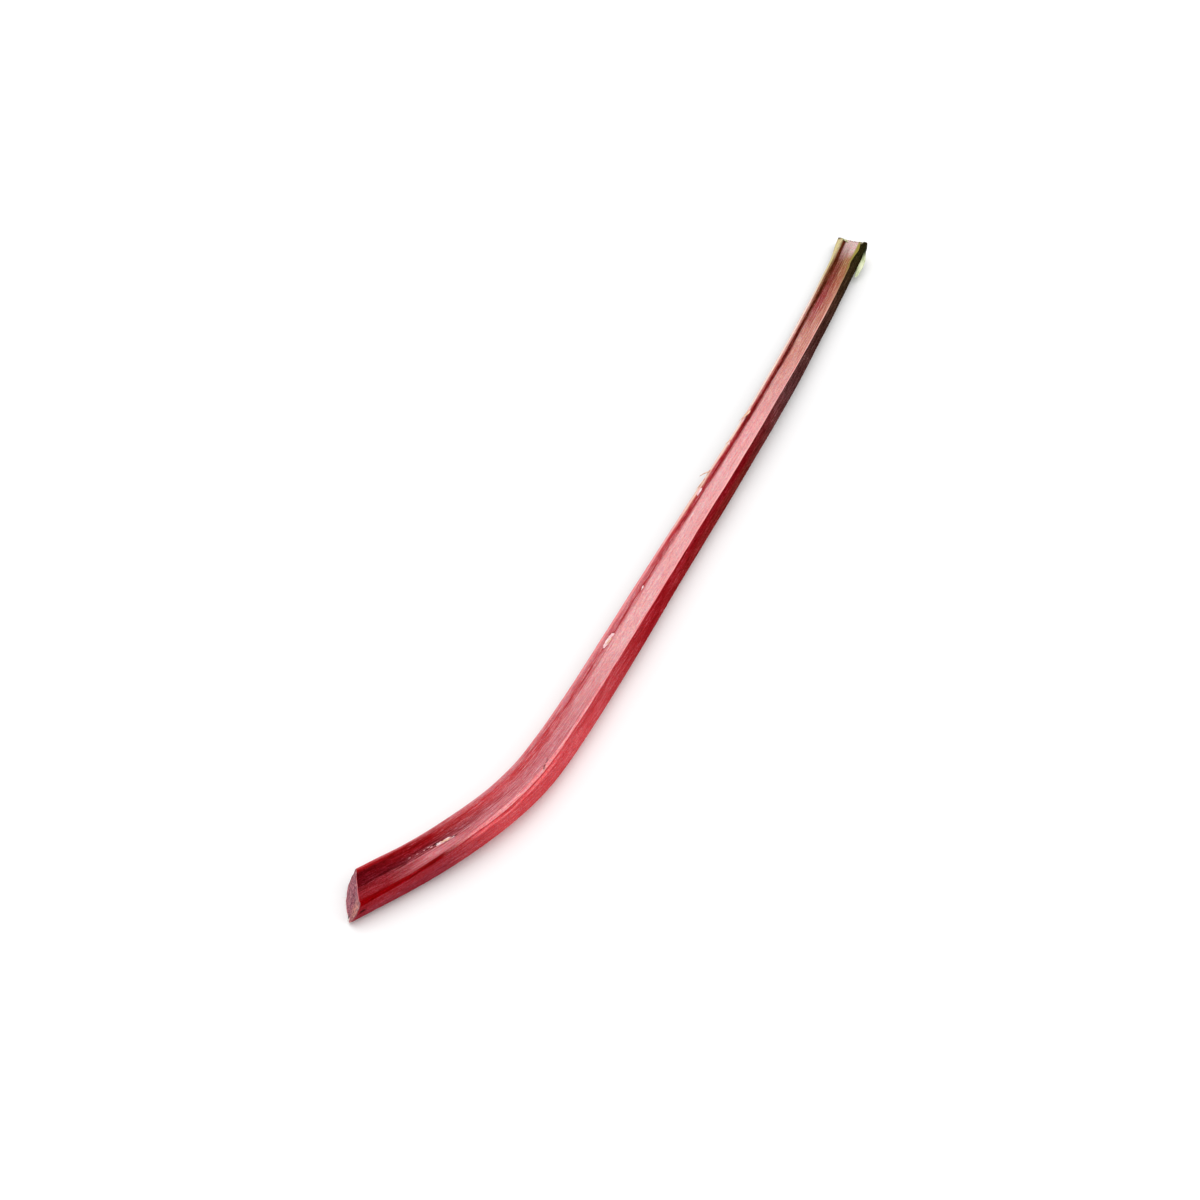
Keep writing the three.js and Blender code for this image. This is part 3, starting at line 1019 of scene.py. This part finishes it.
def skin_material():
    tree = Tree("rhubarb_skin")
    at = skin_places(tree)
    colour = floor_colour(tree, at)
    for layer in (left_margin, right_margin, flank_and_back, streaks_and_grain, skin_marks):
        colour = layer(tree, at, colour)
    bump = tree.bump(at.streak, 0.3, 0.3 * MM)
    bump = tree.bump(at.fibre, 0.3, 0.12 * MM, bump)
    bump = tree.bump(at.grain, 0.2, 0.06 * MM, bump)
    inner = tree.minus(1.0, tree.times(at.back, 0.85))
    tree.feed(tree.shader, {
        "Base Color": colour,
        "Roughness": tree.plus(0.4, tree.times(at.strand, 0.2), tree.times(at.scar, 0.25)),
        "Normal": bump,
        "Specular IOR Level": 0.0,
        "Coat Weight": tree.times(inner, tree.level(at.along, GLOSS)),
        "Coat Roughness": 0.28,
    })
    return tree.material


# Colours of the cuts, sRGB, at the base and at the leaf
FLESH = ((116, 34, 60), (170, 170, 124))
PALE_FLESH = ((188, 104, 116), (206, 206, 168))
FIBRE_ENDS = ((84, 18, 42), (96, 104, 58))
RIM_IN_CHANNEL = (214, 108, 116)
RIM_ON_BACK = (128, 22, 40)
LEAF_RIM = (64, 70, 24)
DRY_FLESH = (214, 140, 116)
PALE_CORNER_COLOUR = (250, 236, 226)
DARK_SPOT_COLOUR = (14, 5, 7)

# Places on the base cut, in millimetres across and up from the middle of the channel
DARK_SPOT = (0, -3.9, -9.2)
PALE_CORNER = (0, -4.9, -9.4)
DRY_PLACE = (0, -6.3, -4.5)


def cut_material():
    """Wet flesh: pink and mauve, speckled with fibre ends, with a coloured rim of skin."""
    tree = Tree("rhubarb_cut_flesh")
    inside = tree.attribute("inside")
    flat = tree.scaled(tree.attribute("grown", "Vector"), 0, 1, 1)
    fibre_ends = tree.cells(tree.scaled(flat, 1, 0.95, 0.95))
    wet = tree.noise(tree.scaled(flat, 1, 0.7, 1.5), 3, 0.65)
    fine = tree.noise(tree.scaled(flat, 1, 2.2, 3.6, 9), 2, 0.6)
    at_leaf = tree.span(tree.attribute("along"), 0.4, 0.6)

    flesh, pale, dark = (tree.mix(at_leaf, *pair) for pair in (FLESH, PALE_FLESH, FIBRE_ENDS))
    colour = tree.mix(tree.span(wet, 0.4, 0.6), flesh, pale)
    colour = tree.pigment(colour, tree.plus(1.0, tree.weighed((fine, 2.4))))
    speck = tree.times(tree.span(fibre_ends, 0.34, 0.16), tree.span(inside, 0.08, 0.2))
    colour = tree.mix(tree.times(speck, 0.75), colour, dark)
    drying = tree.times(tree.span(tree.distance(flat, *DRY_PLACE), 5, 1), tree.span(wet, 0.4, 0.55))
    colour = tree.mix(tree.times(drying, 0.7), colour, DRY_FLESH)
    toward_back = tree.span(tree.math("ABSOLUTE", tree.attribute("side")), 0.5, 1.0)
    rim_colour = tree.mix(at_leaf, tree.mix(toward_back, RIM_IN_CHANNEL, RIM_ON_BACK), LEAF_RIM)
    ragged = tree.times(tree.minus(fine, 0.5), 0.16)
    rim = tree.span(tree.plus(inside, ragged), 0.1, 0.05)
    colour = tree.mix(rim, colour, rim_colour)
    colour = tree.mix(tree.span(tree.distance(flat, *PALE_CORNER), 0.9, 0.6), colour, PALE_CORNER_COLOUR)
    colour = tree.mix(tree.span(tree.distance(flat, *DARK_SPOT), 0.75, 0.55), colour, DARK_SPOT_COLOUR)
    tree.feed(tree.shader, {
        "Base Color": colour,
        "Roughness": tree.plus(0.3, tree.times(wet, 0.3)),
        "Normal": tree.bump(wet, 0.6, 0.3 * MM, tree.bump(fine, 0.7, 0.2 * MM)),
        "Specular IOR Level": 0.3,
    })
    return tree.material


# Torn tissue, sRGB: the skin's colour where it is rooted, the tissue's own colour, and its streaks, with
# the share of its length that the root's colour covers
TORN_SKIN = {"root": (206, 120, 112), "body": (244, 214, 186), "streak": (214, 150, 120), "rooted": 0.25}
TORN_BLADE = {"root": (40, 46, 14), "body": (226, 230, 192), "streak": (184, 198, 146), "rooted": 0.42}
BASE_FIBRE = {"root": (196, 120, 120), "body": (240, 220, 206), "streak": (206, 140, 130), "rooted": 0.25}
LEAF_FIBRE = {"root": (150, 150, 90), "body": (222, 222, 180), "streak": (170, 168, 110), "rooted": 0.25}


def torn_material(name, root, body, streak, rooted):
    """Torn tissue: the skin's colour where it is rooted, pale and streaked where it is free."""
    tree = Tree(name)
    grown = tree.attribute("grown", "Vector")
    strand = tree.noise(tree.scaled(grown, 0.4, 5, 5), 2, 0.6)
    grain = tree.noise(tree.scaled(grown, 3, 6, 6, 4), 2, 0.6)
    colour = tree.mix(tree.span(strand, 0.4, 0.65), body, streak)
    colour = tree.mix(tree.span(tree.attribute("free"), rooted, 0.5 * rooted), colour, root)
    colour = tree.pigment(colour, tree.plus(1.0, tree.weighed((grain, 0.8), (strand, 0.5))))
    tree.feed(tree.shader, {
        "Base Color": colour,
        "Roughness": tree.plus(0.45, tree.times(grain, 0.3)),
        "Normal": tree.bump(strand, 0.4, 0.1 * MM),
        "Specular IOR Level": 0.25,
    })
    return tree.material


stalk = make_stalk()
stalk.data.materials.append(skin_material())
stalk.data.materials.append(cut_material())
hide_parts("stalk")
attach(stalk, "root")

rng = np.random.RandomState(SEED + 60)
torn_pieces = [
    ("torn_skin_slivers", [sliver(spec, rng) for spec in SLIVERS], "torn_skin", TORN_SKIN),
    ("leaf_blade_scrap", [blade_scrap()], "torn_leaf_blade", TORN_BLADE),
    ("base_cut_fibres", cut_fibres("base", BASE_FIBRES, rng), "base_fibres", BASE_FIBRE),
    ("leaf_cut_fibres", cut_fibres("leaf", LEAF_FIBRES, rng), "leaf_fibres", LEAF_FIBRE),
]
for name, strips, tissue, colours in torn_pieces:
    piece = join_strips(name, strips)
    piece.data.materials.append(torn_material(tissue, **colours))
    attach(piece, "root")

# ---- Studio: pale floor, soft light and the camera ----

FLOOR_HALF = 3.0
FLOOR_DROP = 0.0002
PAPER_WHITE = (0.96, 0.96, 0.96, 1)

# Soft boxes: the direction that each shines from, its size in metres and its power in watts
SOFTBOX_DISTANCE = 1.8
SOFTBOXES = {
    "sky_box": {"direction": (0.1, -0.1, 1.0), "size": (2.2, 2.2), "power": 16},
    "back_box": {"direction": (0.62, 0.77, 0.22), "size": (2.0, 0.8), "power": 5},
    "front_box": {"direction": (0.25, -1.0, 0.45), "size": (2.0, 1.0), "power": 9},
}
WORLD_LIGHT = 0.76

CAMERA = {"azimuth_deg": -61.5, "elevation_deg": 45, "distance": 1.6, "lens": 120, "sensor": 36}
LOOK_AT = Vector((-0.02572, 0.01057, 0))
VIEW_DEPTH = 20


def make_floor():
    mesh = bpy.data.meshes.new("studio_floor")
    corners = [(-1, -1), (1, -1), (1, 1), (-1, 1)]
    places = [(x * FLOOR_HALF, y * FLOOR_HALF, -FLOOR_DROP) for x, y in corners]
    mesh.from_pydata(places, [], [(0, 1, 2, 3)])
    tree = Tree("floor_paper")
    matt = {"Base Color": PAPER_WHITE, "Roughness": 0.9, "Specular IOR Level": 0.1}
    tree.feed(tree.shader, matt)
    mesh.materials.append(tree.material)
    return link_object("studio_floor", mesh)


def make_softbox(name, direction, size, power):
    """A soft area light that shines from that direction on the stalk."""
    data = bpy.data.lights.new(name, "AREA")
    data.shape = "RECTANGLE"
    data.size, data.size_y = size
    data.energy = power
    lamp = link_object(name, data)
    away = Vector(direction).normalized()
    lamp.location = away * SOFTBOX_DISTANCE
    lamp.rotation_euler = away.to_track_quat("Z", "Y").to_euler()


def make_world():
    world = bpy.data.worlds.new("studio")
    world.use_nodes = True
    background = world.node_tree.nodes["Background"]
    background.inputs["Color"].default_value = (1, 1, 1, 1)
    background.inputs["Strength"].default_value = WORLD_LIGHT
    bpy.context.scene.world = world
    bpy.context.scene.view_settings.view_transform = "Standard"


def make_camera():
    azimuth = math.radians(CAMERA["azimuth_deg"])
    elevation = math.radians(CAMERA["elevation_deg"])
    back = Vector((
        math.sin(azimuth) * math.cos(elevation),
        -math.cos(azimuth) * math.cos(elevation),
        math.sin(elevation),
    ))
    right = Vector((math.cos(azimuth), math.sin(azimuth), 0))
    up = back.cross(right)
    data = bpy.data.cameras.new("camera")
    data.lens = CAMERA["lens"]
    data.sensor_width = CAMERA["sensor"]
    data.clip_end = VIEW_DEPTH
    camera = link_object("camera", data)
    rotation = Matrix((right, up, back)).transposed().to_4x4()
    camera.matrix_world = Matrix.Translation(LOOK_AT + back * CAMERA["distance"]) @ rotation
    bpy.context.scene.camera = camera


make_floor()
for name, box in SOFTBOXES.items():
    make_softbox(name, **box)
make_world()
make_camera()
